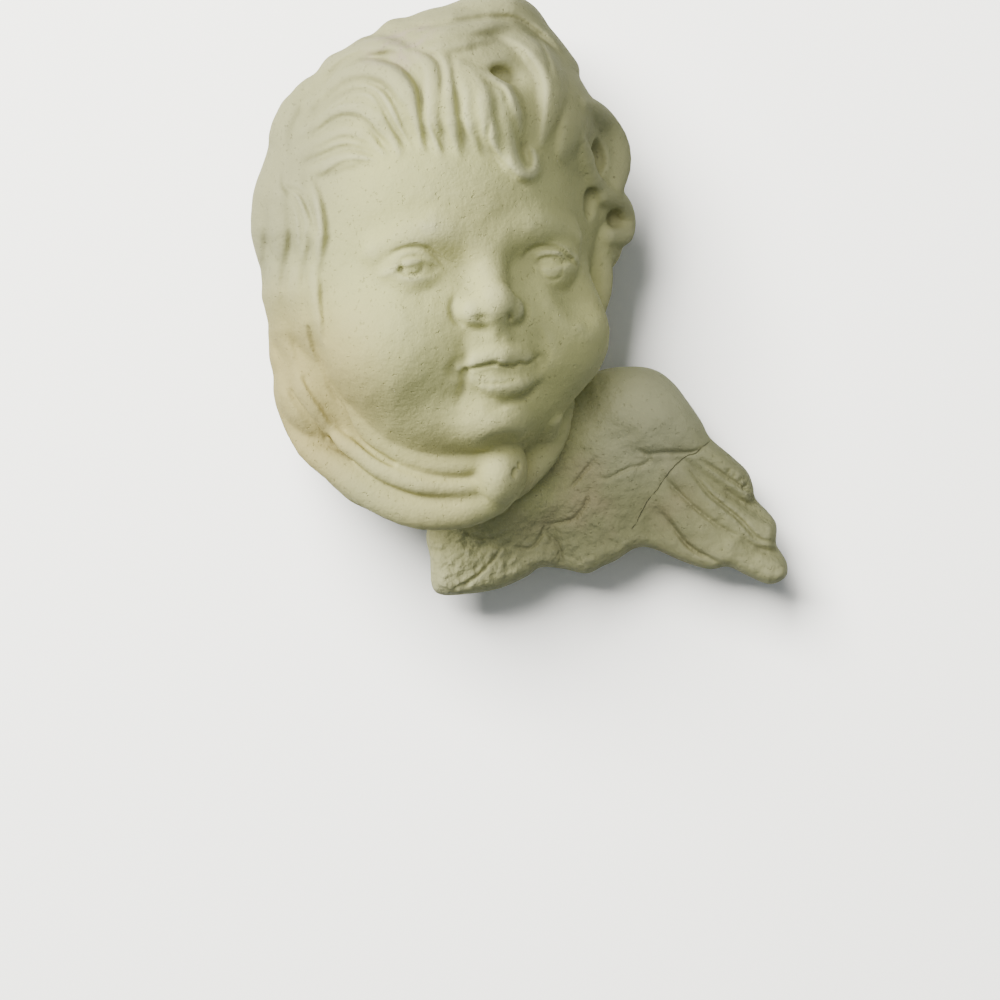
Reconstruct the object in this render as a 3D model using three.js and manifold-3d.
// Cherub wall plaque: a child's head and one wing, cast in plaster as one piece with a flat back.
// Millimetres. The wall is the plane y = 0, the face looks towards -Y, +X is the viewer's right
// and +Z is up. The origin is the point of the flat back behind the bridge of the nose.
import * as THREE from "three";
import { mergeVertices } from "three/addons/utils/BufferGeometryUtils.js";
import Module from "manifold-3d";

// Driving sizes
const HEAD_HEIGHT = 141; // crown of the hair to the underside of the roll of hair
const HEAD_TURN = 20; // degrees that the face looks to the viewer's right
const HEAD_TILT = 5; // degrees that the crown leans to the viewer's left
const HEAD_STAND = 24; // wall to the middle of the skull
const WING_LENGTH = 62; // wing joint to the tip of the longest feather
const SHOULDER_RISE = 23; // wall to the top of the wing's shoulder
const FEATHER_RISE = 5; // rise of a feather over the ground of the wing
const GROUND_THICKNESS = 8; // wall to the ground of the wing
const FOOT_THICKNESS = 14; // wall to the face of the foot under the head
const LOCK_RISE = 3; // rise of a lock of hair over the mass of hair
const POCKET_DEPTH = 6; // depth of the hollows between the curls
const PLASTER = { color: 0xcfd0b0, roughness: 0.85, metalness: 0 };

// Fineness of the cast surface: counts of faces, and how far each height is evened with its neighbours
const fineness = {
  faceDetail: 10,
  hairDetail: 4,
  wingRays: 68,
  wingRings: 8,
  lockSides: 6,
  lockStations: 6,
  evening: 0.3,
};

// A carver's scales: the head is set out in 141 parts, and the wing in 62 parts of its length
const partCounts = { head: 141, wing: 62, farthest: 110 };
const headPart = HEAD_HEIGHT / partCounts.head;
const wingPart = WING_LENGTH / partCounts.wing;
const wingJoint = { x: 46, z: -42 };
const REACH = partCounts.farthest * Math.max(headPart, wingPart);
const FAR = REACH / 2;

const faceTurn = new THREE.Quaternion().setFromEuler(
  new THREE.Euler(0, THREE.MathUtils.degToRad(-HEAD_TILT), THREE.MathUtils.degToRad(HEAD_TURN), "ZYX"),
);
const skullCentre = new THREE.Vector3(-2 * headPart, -HEAD_STAND, 0);

// A point of the head, in parts of the head, straight off the wall
function onHead(x, y, z) {
  return new THREE.Vector3(x, y, z).multiplyScalar(headPart);
}

// A point of the face, in parts of the head, in the face's own turned frame
function onFace(x, y, z) {
  return onHead(x, y, z).applyQuaternion(faceTurn).add(skullCentre);
}

// A point of the wing, set out from the wing's joint, at a given distance off the wall
function onWing(x, z, rise) {
  const joint = onHead(wingJoint.x, 0, wingJoint.z);
  const fromJoint = new THREE.Vector3(x - wingJoint.x, 0, z - wingJoint.z).multiplyScalar(wingPart);
  return new THREE.Vector3(joint.x + fromJoint.x, -rise, joint.z + fromJoint.z);
}

function smoothMin(a, b, soft) {
  const overlap = Math.max(soft - Math.abs(a - b), 0) / soft;
  return Math.min(a, b) - (overlap * overlap * soft) / 4;
}

// Clay: forms pressed on and cut away in turn, known by its distance to any point. How softly
// a form melts into the others is given in parts, like its place.
class Clay {
  forms = [];

  constructor(part) {
    this.part = part;
  }

  add(form, softParts) {
    const soft = softParts * this.part;
    this.forms.push({ form, soft, cut: false, box: form.box.clone().expandByScalar(soft + 2 * this.part) });
  }

  cut(form, softParts) {
    const soft = softParts * this.part;
    this.forms.push({ form, soft, cut: true, box: form.box.clone().expandByScalar(soft + this.part) });
  }

  distance(point) {
    let distance = FAR;
    for (const { form, soft, cut, box } of this.forms) {
      if (!box.containsPoint(point)) continue;
      const own = form.distance(point);
      distance = cut ? -smoothMin(-distance, own, soft) : smoothMin(distance, own, soft);
    }
    return distance;
  }

  // The first place where a ray from outside meets the clay, or null
  meet(from, direction, length) {
    const longestStep = 1.5 * this.part;
    const shortestStep = 0.25 * this.part;
    const point = from.clone();
    let travelled = 0;
    let last = 0;
    while (travelled < length) {
      const distance = this.distance(point);
      if (distance < 0) {
        let outside = last;
        let inside = travelled;
        for (let turn = 0; turn < 8; turn += 1) {
          const middle = (outside + inside) / 2;
          point.copy(from).addScaledVector(direction, middle);
          if (this.distance(point) < 0) inside = middle;
          else outside = middle;
        }
        return point;
      }
      last = travelled;
      travelled += Math.min(Math.max(distance * 0.7, shortestStep), longestStep);
      point.copy(from).addScaledVector(direction, travelled);
    }
    return null;
  }

  // How far in front of the wall the clay stands, or its limb where the view passes beside it
  rise(x, z) {
    const from = new THREE.Vector3(x, -REACH, z);
    const met = this.meet(from, new THREE.Vector3(0, 1, 0), REACH);
    if (met) return -met.y;
    let nearest = FAR;
    let at = 0;
    for (let y = -REACH; y < 0; y += this.part) {
      const distance = this.distance(new THREE.Vector3(x, y, z));
      if (distance < nearest) {
        nearest = distance;
        at = -y;
      }
    }
    return at;
  }
}

// An egg of clay
function ball(centre, radii, turn = null) {
  const back = turn ? turn.clone().invert() : null;
  const reach = turn ? Math.max(...radii) : null;
  const half = turn ? new THREE.Vector3(reach, reach, reach) : new THREE.Vector3(...radii);
  const local = new THREE.Vector3();
  const [a, b, c] = radii;
  return {
    box: new THREE.Box3(centre.clone().sub(half), centre.clone().add(half)),
    distance(point) {
      local.copy(point).sub(centre);
      if (back) local.applyQuaternion(back);
      const near = Math.hypot(local.x / a, local.y / b, local.z / c);
      const steep = Math.hypot(local.x / a ** 2, local.y / b ** 2, local.z / c ** 2);
      return (near * (near - 1)) / Math.max(steep, 1e-6);
    },
  };
}

const headBall = (x, y, z, a, b, c) =>
  ball(onHead(x, y, z), [a * headPart, b * headPart, c * headPart]);
const faceBall = (x, y, z, a, b, c) =>
  ball(onFace(x, y, z), [a * headPart, b * headPart, c * headPart], faceTurn);

function spread(values, share) {
  const place = share * (values.length - 1);
  const index = Math.min(Math.floor(place), values.length - 2);
  return values[index] + (values[index + 1] - values[index]) * (place - index);
}

function smoothPath(points, count) {
  return new THREE.CatmullRomCurve3(points, false, "catmullrom", 0.5).getSpacedPoints(count - 1);
}

function boxAround(path, reach) {
  return new THREE.Box3().setFromPoints(path).expandByScalar(reach);
}

// The nearest place of a path to a point: its squared distance and its share of the way
function nearestOnPath(path, point) {
  let best = Infinity;
  let share = 0;
  for (let i = 0; i < path.length - 1; i += 1) {
    const a = path[i];
    const b = path[i + 1];
    const ex = b.x - a.x;
    const ey = b.y - a.y;
    const ez = b.z - a.z;
    const px = point.x - a.x;
    const py = point.y - a.y;
    const pz = point.z - a.z;
    const along = (px * ex + py * ey + pz * ez) / (ex * ex + ey * ey + ez * ez);
    const t = Math.min(Math.max(along, 0), 1);
    const distance = (px - t * ex) ** 2 + (py - t * ey) ** 2 + (pz - t * ez) ** 2;
    if (distance < best) {
      best = distance;
      share = (i + t) / (path.length - 1);
    }
  }
  return { square: best, share };
}

// A rolled string of clay that grows and tapers along a smooth path
function roll(points, radii) {
  const path = smoothPath(points, 10);
  return {
    box: boxAround(path, Math.max(...radii)),
    distance(point) {
      const { square, share } = nearestOnPath(path, point);
      return Math.sqrt(square) - spread(radii, share);
    },
  };
}

// The path of a lock with its upright and its sideways direction at any share of its length
function lockPath(points, awayFrom) {
  const curve = new THREE.CatmullRomCurve3(points, false, "catmullrom", 0.5);
  return (share) => {
    const place = curve.getPointAt(share);
    const along = curve.getTangentAt(share);
    const up = awayFrom ? place.clone().sub(awayFrom) : new THREE.Vector3(0, -1, 0);
    up.addScaledVector(along, -up.dot(along)).normalize();
    return { place, up, across: up.clone().cross(along) };
  };
}

// A lock or a feather: a ball drawn out along a path, with its width and height along the way
function drawnOut(points, widths, heights, awayFrom, sides, stations) {
  const geometry = bareGeometry(new THREE.SphereGeometry(1, sides, stations));
  const position = geometry.attributes.position;
  const frameAt = lockPath(points, awayFrom);
  const vertex = new THREE.Vector3();
  const blunt = 0.55;
  for (let i = 0; i < position.count; i += 1) {
    vertex.fromBufferAttribute(position, i);
    const share = Math.acos(THREE.MathUtils.clamp(vertex.y, -1, 1)) / Math.PI;
    const round = Math.hypot(vertex.x, vertex.z);
    const swell = round > 1e-6 ? round ** (blunt - 1) : 0;
    const { place, up, across } = frameAt(share);
    place.addScaledVector(across, vertex.x * swell * spread(widths, share));
    place.addScaledVector(up, vertex.z * swell * spread(heights, share));
    position.setXYZ(i, place.x, place.y, place.z);
  }
  return geometry;
}

function buildSkull(clay) {
  clay.add(faceBall(0, 5, 14, 41, 44.5, 42), 1);
  clay.add(faceBall(-0.5, 0, -8, 36, 39.5, 38.5), 14);
  clay.add(faceBall(0, -20, 24, 28, 20, 19), 12);
}

function buildHairMass(clay) {
  clay.add(headBall(2, -17, 40, 40, 46.5, 34), 1);
  clay.add(headBall(0, -14, 26, 44, 38, 45), 3);
  clay.add(headBall(12, -22, 56, 22, 20, 18), 6);
  clay.add(headBall(-34, -20, 18, 18, 25, 40), 3);
  clay.add(headBall(37, -16, 30, 11, 11, 17), 4);
  clay.add(headBall(39, -12, 13, 9, 10, 10), 3);
  clay.add(headBall(37, -10, -2, 6.5, 9, 13), 3);
  clay.add(headBall(-32, -16, -26, 17, 22, 28), 4);
  clay.add(headBall(-8, -16, -44, 29, 20, 20), 4);
  clay.add(headBall(14, -14, -42, 20, 17, 20), 5);
}

// Rolls of clay on the face, given in its own turned frame; side -1 mirrors them to the near side
function faceRoll(points, radii, side = 1) {
  const path = points.map(([x, y, z]) => onFace(side * x, y, z));
  return roll(path, radii.map((radius) => radius * headPart));
}

// Lids and lips: thin rolls with sharp edges, kept as solids of their own until they are joined
function faceRidge(points, width, height, side = 1) {
  const path = points.map(([x, y, z]) => onFace(side * x, y, z));
  const taper = [0.45, 1, 1, 0.45];
  const widths = taper.map((share) => share * width * headPart);
  const heights = taper.map((share) => share * height * headPart);
  return drawnOut(path, widths, heights, onFace(side * 2, -10, 0), fineness.lockSides, fineness.lockStations);
}

// One side's cheek, brow, eye and wing of the nose: side is -1 for the near side and 1 for the far side
function buildFaceSide(clay, side) {
  clay.add(faceBall(side * 20, -18, -15, 18.5, 20, 18), 10);
  clay.cut(faceBall(side * 17.5, -44.5, 3, 10, 7, 6.5), 7);
  clay.cut(faceBall(side * 9, -44.5, 3.5, 4, 6, 6), 6);
  clay.add(faceRoll([[6, -38, 9.5], [15, -38.5, 12.5], [27, -31, 9]], [2.2, 2.6, 2], side), 6);
  clay.add(faceBall(side * 18.5, -29, 3, 9, 9, 9), 1.5);
  clay.cut(faceBall(side * 11.8, -40.5, -24, 2, 2.6, 2.2), 3);
  const cheekFold = [[9.5, -44, -10], [13, -42.5, -15.5], [14, -40, -22], [12, -38.5, -29]];
  clay.cut(faceRoll(cheekFold, [0.9, 1.5, 1.6, 0.9], side), 4);
}

function buildFace(clay) {
  clay.add(faceBall(0, -12, -34, 25, 23, 13), 10);
  clay.add(faceBall(0, -31, -20, 12.5, 12.5, 10), 8);
  clay.add(faceBall(0, -31, -36.5, 9, 8.5, 7), 7);
  for (const side of [-1, 1]) buildFaceSide(clay, side);
  clay.add(faceRoll([[0, -36.5, 9], [0, -39.6, 3], [0, -44.5, -4.5]], [3, 2.8, 3.6]), 5);
  clay.cut(faceRoll([[0, -45.4, -12.5], [0, -45.2, -16], [0, -45, -19]], [1.1, 1.3, 1.3]), 2.5);
  clay.cut(faceRoll([[-6.5, -41, -32.4], [0, -44, -33], [6.5, -41, -32.4]], [1.2, 2, 1.2]), 4);
}

// The button of the nose and its two wings
function noseKnobs() {
  const knob = (x, y, z, a, b, c) => {
    const geometry = bareGeometry(new THREE.IcosahedronGeometry(1, 1));
    geometry.scale(a * headPart, b * headPart, c * headPart);
    geometry.applyQuaternion(faceTurn);
    const centre = onFace(x, y, z);
    return geometry.translate(centre.x, centre.y, centre.z);
  };
  const wings = [-1, 1].map((side) => knob(side * 6.2, -43, -8.6, 3.6, 4.4, 3.2));
  return [knob(0, -46.6, -6.6, 5, 5, 4.4), ...wings];
}

function faceRidges() {
  const upperLip = [
    [-11, -39, -23.8], [-4.5, -42.2, -21.6], [0, -42.8, -22.4], [4.5, -42.2, -21.6], [11, -39, -23.8],
  ];
  const lowerLip = [[-9, -39.2, -25.6], [-3.5, -41.4, -27.2], [3.5, -41.4, -27.2], [9, -39.2, -25.6]];
  const ridges = [faceRidge(upperLip, 2.3, 2), faceRidge(lowerLip, 2.8, 2.2)];
  for (const side of [-1, 1]) {
    const upperLid = [[9.5, -36.6, 2.6], [14, -37.6, 6.2], [20, -37.8, 6.8], [27.5, -33.5, 3]];
    const lowerLid = [[10.5, -36.6, 1.2], [15, -37.4, -1.4], [21, -37.2, -1.6], [27, -33.6, 1.4]];
    ridges.push(faceRidge(upperLid, 1.5, 1.3, side), faceRidge(lowerLid, 1, 0.9, side));
  }
  return ridges;
}

// Lays locks of hair on the finished mass of the head, and opens pockets between them
function hairdresser(clay) {
  const locks = [];
  const pockets = [];
  const core = onHead(-1, -10, 8);

  function layLock(line, width, options = {}) {
    const { lift = 0, from = core, tip = 0.5, root = 0.8, high = 1 } = options;
    const path = line.map(([x, z]) => {
      const place = onHead(x, 0, z);
      place.y = -clay.rise(place.x, place.z) - lift * headPart;
      return place;
    });
    const taper = [root, 1, 1, tip];
    const widths = taper.map((share) => share * width * headPart);
    const heights = taper.map((share) => share * high * LOCK_RISE);
    locks.push(drawnOut(path, widths, heights, from, fineness.lockSides, fineness.lockStations));
  }

  function pocket(x, z, width, height) {
    const geometry = bareGeometry(new THREE.SphereGeometry(1, 10, 8));
    const centre = onHead(x, 0, z);
    geometry.scale(width * headPart, POCKET_DEPTH, height * headPart);
    geometry.translate(centre.x, -clay.rise(centre.x, centre.z) - headPart, centre.z);
    pockets.push(geometry);
  }

  return { layLock, pocket, locks, pockets };
}

function buildFringe({ layLock }) {
  // locks combed up from the near temple and over to the brow, lowest first
  layLock([[-38, 30.7], [-32, 32.4], [-26, 33.8], [-19, 32]], 2.6);
  layLock([[-38, 36.2], [-32, 39.6], [-26, 40.2], [-21.2, 38.2], [-18.2, 34.5]], 3.6);
  layLock([[-37.5, 41.6], [-30, 46], [-24.6, 46.4], [-20, 43.6], [-16.2, 38.9], [-13.8, 34]], 3.4);
  layLock([[-28, 50.8], [-21.2, 50.8], [-16.2, 47], [-12.8, 41.6], [-10, 34]], 2.6, { lift: 0 });
  const arch = [[-35, 50.4], [-28.7, 55.5], [-21.2, 56.5], [-15, 53.8], [-11, 48.4], [-8.3, 41.6], [-7, 33.5]];
  layLock(arch, 3.6, { lift: 1.2 });
  layLock([[-35.5, 54.5], [-30.8, 58.9], [-23.3, 61.6], [-15.8, 61.3], [-10.4, 57.9]], 3, { lift: 0 });
  // strands that hang from the parting to the middle of the brow
  layLock([[-7.7, 59.6], [-4.3, 54.5], [-3.6, 47], [-3.3, 40.2], [-1.6, 32.8]], 2.6, { lift: 0.9 });
  layLock([[-1.6, 58.2], [0.8, 51.8], [0.8, 44.3], [1.8, 36.2], [2.9, 32]], 2.5, { lift: 1.1 });
  layLock([[3.2, 54.5], [5.9, 48.4], [6.2, 41.6], [7.6, 33.5]], 2.5, { lift: 1.1 });
  // forelock with its hooked tip
  layLock([[5.9, 53.8], [10, 47.7], [10.3, 41], [11.7, 34.8], [15.4, 28]], 2.8, { lift: 1.6 });
  layLock([[7.9, 53.2], [13.4, 48.4], [14.7, 41.6], [14.7, 34.8], [18, 27.3], [21.5, 24]], 3, { lift: 2.2 });
  layLock([[25, 36.2], [25.6, 30], [25, 26], [22, 23.4]], 1.8, { lift: 0.8 });
}

function buildCrown({ layLock, pocket }) {
  const top = [[-11.7, 68.5], [-5, 70], [2.5, 71.5], [10, 73.5], [18, 73.5], [25, 70], [29.7, 64.7]];
  layLock(top, 4.4, { lift: 0 });
  const sweep = [
    [-8.3, 65], [-1.6, 65.4], [6.6, 67.2], [14.7, 67.4], [21.5, 64.8], [26.3, 59], [28.6, 51.8], [27.6, 44.3], [25, 36],
  ];
  layLock(sweep, 3.6, { high: 1.2 });
  const swirl = [[3.9, 58.6], [9.3, 60.6], [16, 61], [22.2, 58], [25.6, 52.5], [25.4, 45.7], [23.6, 39], [20.2, 32]];
  layLock(swirl, 2.8, { lift: 1, high: 1.3 });
  layLock([[28.8, 60.6], [31.5, 53.2], [33, 45.7], [31.6, 39], [29, 33]], 4, { tip: 0.5 });
  pocket(16, 55, 5, 3.2);
  pocket(20, 50.5, 3.4, 4);
}

function buildFarCurls({ layLock, pocket }) {
  const from = onHead(20, -8, 25);
  layLock([[35, 47], [41, 44.5], [46, 38.5], [47.2, 32], [46, 26.5]], 3.6, { from, high: 1.2 });
  layLock([[35.4, 39], [36.6, 32], [39.4, 27], [42.4, 24]], 2.6, { from });
  layLock([[42, 23], [46.5, 22.5], [48.8, 18], [48, 13], [44, 12]], 2.8, { from, tip: 0.8 });
  layLock([[40.5, 17], [42, 12], [42.6, 6], [42.2, 0], [40.5, -7]], 3, { from });
  pocket(41.9, 35, 3.4, 3.8);
  pocket(38.4, 21.6, 2.2, 3);
  pocket(45, 18.2, 2.2, 2.4);
}

function buildNearSide({ layLock, pocket }) {
  layLock([[-38.5, 52.5], [-42.5, 47], [-44.6, 41], [-43, 35.5]], 3.6);
  layLock([[-46.4, 33], [-49.8, 25], [-51, 16.5], [-50.4, 8]], 3.4);
  layLock([[-43, 31], [-43.6, 24], [-42.6, 16.5], [-41, 8]], 3.8);
  layLock([[-38.6, 28.7], [-36.4, 21.2], [-35, 14.4], [-35, 6.5]], 2.6);
  for (const shift of [0, 4.6, 9.2]) {
    layLock([[-51 + shift, 7], [-51.4 + shift, -3], [-49.6 + shift, -13], [-46.6 + shift, -23]], 3.4);
  }
  layLock([[-34.6, 5], [-34, -8], [-31, -18], [-27.5, -28], [-23.6, -36]], 2.4, { lift: 1 });
  layLock([[-40, -22], [-36.5, -31], [-32, -40]], 3.2, { lift: 1.4, tip: 0.7 });
  layLock([[-46, -26], [-41, -35], [-35, -41.5], [-28, -46]], 3.2, { lift: 0.8 });
  layLock([[-34.5, -22], [-31, -30], [-27.5, -37], [-22, -43]], 3, { lift: 1 });
  pocket(-38.4, 42.6, 2.2, 1.6);
}

function buildRoll({ layLock }) {
  const from = onHead(-2, -5, -25);
  const band = (line, width, high) => layLock(line, width, { lift: 1.6, from, tip: 0.8, high });
  band([[-27.4, -31], [-20.5, -41], [-9, -48.4], [4.6, -50.6], [16, -46.4]], 2.8, 1.2);
  band([[-31, -37], [-23.5, -48], [-12, -54.4], [3.4, -57], [17, -52]], 3.2, 1.2);
  const outer = [[-44, -34], [-38, -44.5], [-27, -52.5], [-15, -59], [-2, -61.5], [9, -60], [20, -52.5]];
  layLock(outer, 5.6, { lift: 1, from, tip: 1, high: 1.8 });
  layLock([[20, -45.5], [20.8, -49.5], [19.6, -54]], 3, { lift: 2, from, tip: 0.8, root: 0.8, high: 1.2 });
  layLock([[32, -34], [27.5, -40], [24.5, -44]], 2.8, { lift: 1.2, from });
  layLock([[36.5, -28], [33, -38], [27.5, -49], [19, -59]], 4, { lift: 0, from });
}

function buildHead() {
  const face = new Clay(headPart);
  buildSkull(face);
  buildFace(face);
  const mass = new Clay(headPart);
  buildHairMass(mass);
  const whole = new Clay(headPart);
  whole.forms = [...face.forms, ...mass.forms];
  const hair = hairdresser(whole);
  buildNearSide(hair);
  buildFringe(hair);
  buildCrown(hair);
  buildFarCurls(hair);
  buildRoll(hair);
  return { face, mass, hair };
}

// Outline of the wing and the foot, round by the right, as points on a smooth curve
function plateOutline() {
  const shoulderEdge = [
    [30, -30], [40.6, -23.1], [50.6, -21.5], [57.5, -22.5], [62.5, -26.1], [66.6, -31.4], [70.2, -36.6],
  ];
  const firstFeather = [[72.7, -41.3], [78, -45.9], [83, -50.5], [84.6, -54.5]];
  const secondFeather = [[85.4, -58.3], [88.7, -61.8], [91.2, -65.2], [91.3, -68.6]];
  const longFeather = [[91.2, -71.2], [94.2, -76.2], [93.9, -80.2], [89.3, -82.3], [83, -79.8], [77.7, -77.4]];
  const lowFeather = [[72.5, -78.1], [65.2, -76], [56.9, -72.4]];
  const down = [
    [51.9, -72.2], [46.5, -75.6], [42.8, -77.2], [38.2, -79.3], [31.5, -78], [25.2, -77.6], [21.5, -80.1],
  ];
  const foot = [[13, -83.7], [1, -85.4], [-3.6, -84.8], [-5.2, -82], [-5.5, -75], [-6, -66], [4, -50]];
  const wing = [...shoulderEdge, ...firstFeather, ...secondFeather, ...longFeather, ...lowFeather];
  const points = [
    ...wing.map(([x, z]) => onWing(x, z, 0)),
    ...[...down, ...foot].map(([x, z]) => onHead(x, 0, z)),
  ];
  return new THREE.CatmullRomCurve3(points, true, "catmullrom", 0.5);
}

// A long feather: a soft ridge that falls towards its tip
function feather(clay, line, width) {
  const points = line.map(([x, z], index) => {
    const fall = 1 - (0.55 * index) / (line.length - 1);
    return onWing(x, z, GROUND_THICKNESS * fall + FEATHER_RISE - width * wingPart);
  });
  clay.add(roll(points, [0.8, 1, 1.05, 0.8].map((share) => share * width * wingPart)), 1.2);
}

// Soft down: short rounded feathers that overlap like scales
function downFeather(clay, line, width) {
  const points = line.map(([x, z]) => onHead(x, 0, z));
  for (const point of points) point.y = -FOOT_THICKNESS + (width - 3) * headPart;
  clay.add(roll(points, [0.7, 1, 0.9].map((share) => share * width * headPart)), 1.4);
}

function buildWing() {
  const clay = new Clay(wingPart);
  const shoulder = onWing(55, -36.5, 0);
  const shoulderTurn = new THREE.Quaternion().setFromAxisAngle(new THREE.Vector3(0, 1, 0), Math.PI / 7);
  clay.add(ball(onWing(58, -55, 0), [38 * wingPart, GROUND_THICKNESS, 22 * wingPart], shoulderTurn), 1);
  clay.add(ball(onWing(72, -64, 0), [28 * wingPart, GROUND_THICKNESS * 0.75, 16 * wingPart], shoulderTurn), 2);
  feather(clay, [[56, -63], [64, -70], [74, -76]], 5);
  feather(clay, [[58, -53], [72, -65], [82, -73.5], [90.5, -79]], 5.6);
  feather(clay, [[62, -48], [74, -57.5], [82, -63.5], [89, -69]], 4.8);
  feather(clay, [[66, -43.5], [74, -48.5], [82.5, -54]], 3.8);
  clay.add(ball(onHead(14, 0, -68), [22 * headPart, FOOT_THICKNESS, 22 * headPart]), 3);
  clay.add(ball(onHead(34, 0, -62), [24 * headPart, FOOT_THICKNESS * 0.9, 22 * headPart]), 5);
  downFeather(clay, [[6, -66], [5, -74], [0, -81]], 6);
  downFeather(clay, [[22, -64], [21, -73], [14, -79]], 6.5);
  downFeather(clay, [[36, -56], [36, -66], [28, -72]], 6.5);
  downFeather(clay, [[48, -56], [46, -66], [38, -74]], 7);
  downFeather(clay, [[50, -46], [46, -54], [40, -58]], 6);
  const shoulderRadii = [20 * wingPart, SHOULDER_RISE, 15.5 * wingPart];
  clay.add(ball(shoulder, shoulderRadii, shoulderTurn), 1.5);
  return clay;
}

function bareGeometry(geometry) {
  geometry.deleteAttribute("normal");
  geometry.deleteAttribute("uv");
  return mergeVertices(geometry);
}

// Each value drawn part of the way to the mean of its neighbours, as a thumb evens clay
function evened(values, triangles) {
  const sums = values.map(() => 0);
  const counts = values.map(() => 0);
  for (let corner = 0; corner < triangles.length; corner += 1) {
    const next = corner % 3 === 2 ? corner - 2 : corner + 1;
    sums[triangles[corner]] += values[triangles[next]];
    counts[triangles[corner]] += 1;
  }
  return values.map((value, i) => value + fineness.evening * (sums[i] / counts[i] - value));
}

// The skin of a rounded form: a fine ball whose points are drawn in on the clay from outside,
// closer together towards the side where the carving is
function ballSkin(clay, detail, centre, fineSide) {
  const geometry = bareGeometry(new THREE.IcosahedronGeometry(1, detail));
  const position = geometry.attributes.position;
  const direction = new THREE.Vector3();
  const directions = [];
  const distances = [];
  for (let i = 0; i < position.count; i += 1) {
    direction.fromBufferAttribute(position, i).add(fineSide).normalize();
    const from = centre.clone().addScaledVector(direction, REACH);
    const met = clay.meet(from, direction.clone().negate(), REACH) ?? centre;
    directions.push(direction.clone());
    distances.push(met.distanceTo(centre));
  }
  const smoothed = evened(distances, geometry.index.array);
  for (let i = 0; i < position.count; i += 1) {
    direction.copy(directions[i]).multiplyScalar(smoothed[i]).add(centre);
    position.setXYZ(i, direction.x, direction.y, direction.z);
  }
  return geometry;
}

// The wing's skin: rays from its middle to its outline, each drawn in on the clay from the front
function wingSkin(clay) {
  const outline = plateOutline();
  const middle = onWing(40, -53, 0);
  const backRings = 1;
  const frontRings = fineness.wingRings;
  const rays = fineness.wingRays;
  const rows = frontRings + backRings + 1;
  const geometry = new THREE.SphereGeometry(1, rays, rows);
  const position = geometry.attributes.position;
  const hidden = 6 * wingPart;
  const rim = outline.getSpacedPoints(rays);
  for (let row = 0; row <= rows; row += 1) {
    for (let ray = 0; ray <= rays; ray += 1) {
      const index = row * (rays + 1) + ray;
      const edge = rim[ray % rays];
      const fromFront = rows - row;
      const share = row === 0 ? 0 : Math.sin((Math.PI / 2) * Math.min(fromFront / frontRings, 1));
      const x = THREE.MathUtils.lerp(middle.x, edge.x, share);
      const z = THREE.MathUtils.lerp(middle.z, edge.z, share);
      const rimRise = GROUND_THICKNESS * 0.5;
      const inside = THREE.MathUtils.lerp(1, 0.985, share);
      const measuredX = THREE.MathUtils.lerp(middle.x, x, inside);
      const measuredZ = THREE.MathUtils.lerp(middle.z, z, inside);
      const rise = Math.max(clay.rise(measuredX, measuredZ), rimRise);
      const atEdge = fromFront >= frontRings;
      const y = row <= backRings ? hidden : -(atEdge ? Math.min(rise, rimRise) : rise);
      position.setXYZ(index, x, y, z);
    }
  }
  return bareGeometry(geometry);
}

const wasm = await Module();
wasm.setup();

function solidFrom(geometry) {
  const merged = bareGeometry(geometry);
  const solid = new wasm.Mesh({
    numProp: 3,
    vertProperties: Float32Array.from(merged.attributes.position.array),
    triVerts: Uint32Array.from(merged.index.array),
  });
  return new wasm.Manifold(solid);
}

// The outer skin alone: plaster fills the small spaces that locks would close in between them
function outerTriangles(triangles, vertexCount) {
  const owner = Array.from({ length: vertexCount }, (_, i) => i);
  const rootOf = (i) => {
    let root = i;
    while (owner[root] !== root) root = owner[root];
    owner[i] = root;
    return root;
  };
  for (let corner = 0; corner < triangles.length; corner += 3) {
    owner[rootOf(triangles[corner + 1])] = rootOf(triangles[corner]);
    owner[rootOf(triangles[corner + 2])] = rootOf(triangles[corner]);
  }
  const sizes = new Map();
  for (const corner of triangles) {
    const root = rootOf(corner);
    sizes.set(root, (sizes.get(root) ?? 0) + 1);
  }
  const [[largest]] = [...sizes].sort((a, b) => b[1] - a[1]);
  return triangles.filter((_, i) => rootOf(triangles[i]) === largest);
}

function geometryFrom(solid) {
  const { vertProperties, triVerts } = solid.getMesh();
  const geometry = new THREE.BufferGeometry();
  geometry.setAttribute("position", new THREE.BufferAttribute(vertProperties, 3));
  const skin = outerTriangles(triVerts, vertProperties.length / 3);
  geometry.setIndex(new THREE.BufferAttribute(skin, 1));
  geometry.computeVertexNormals();
  return geometry;
}

// Everything behind the wall's face is cut away, which leaves the flat back
function wallBlock() {
  const depth = 2 * REACH;
  const geometry = new THREE.BoxGeometry(4 * REACH, depth, 4 * REACH);
  geometry.translate(0, depth / 2, 0);
  return solidFrom(geometry);
}

const { face, mass, hair } = buildHead();
const faceSkin = ballSkin(face, fineness.faceDetail, onFace(0, 0, -2), new THREE.Vector3(0.25, -0.72, -0.1));
const hairSkin = ballSkin(mass, fineness.hairDetail, onHead(-1, -12, 4), new THREE.Vector3(0, -0.3, 0));
let head = solidFrom(faceSkin).add(solidFrom(hairSkin));
for (const geometry of [...noseKnobs(), ...faceRidges(), ...hair.locks]) head = head.add(solidFrom(geometry));
for (const geometry of hair.pockets) head = head.subtract(solidFrom(geometry));
const wing = solidFrom(wingSkin(buildWing()));
const casting = head.add(wing).subtract(wallBlock());

const plaque = new THREE.Mesh(geometryFrom(casting), new THREE.MeshStandardMaterial(PLASTER));
plaque.name = "cherub_casting";

const group = new THREE.Group();
group.add(plaque);

export default group;
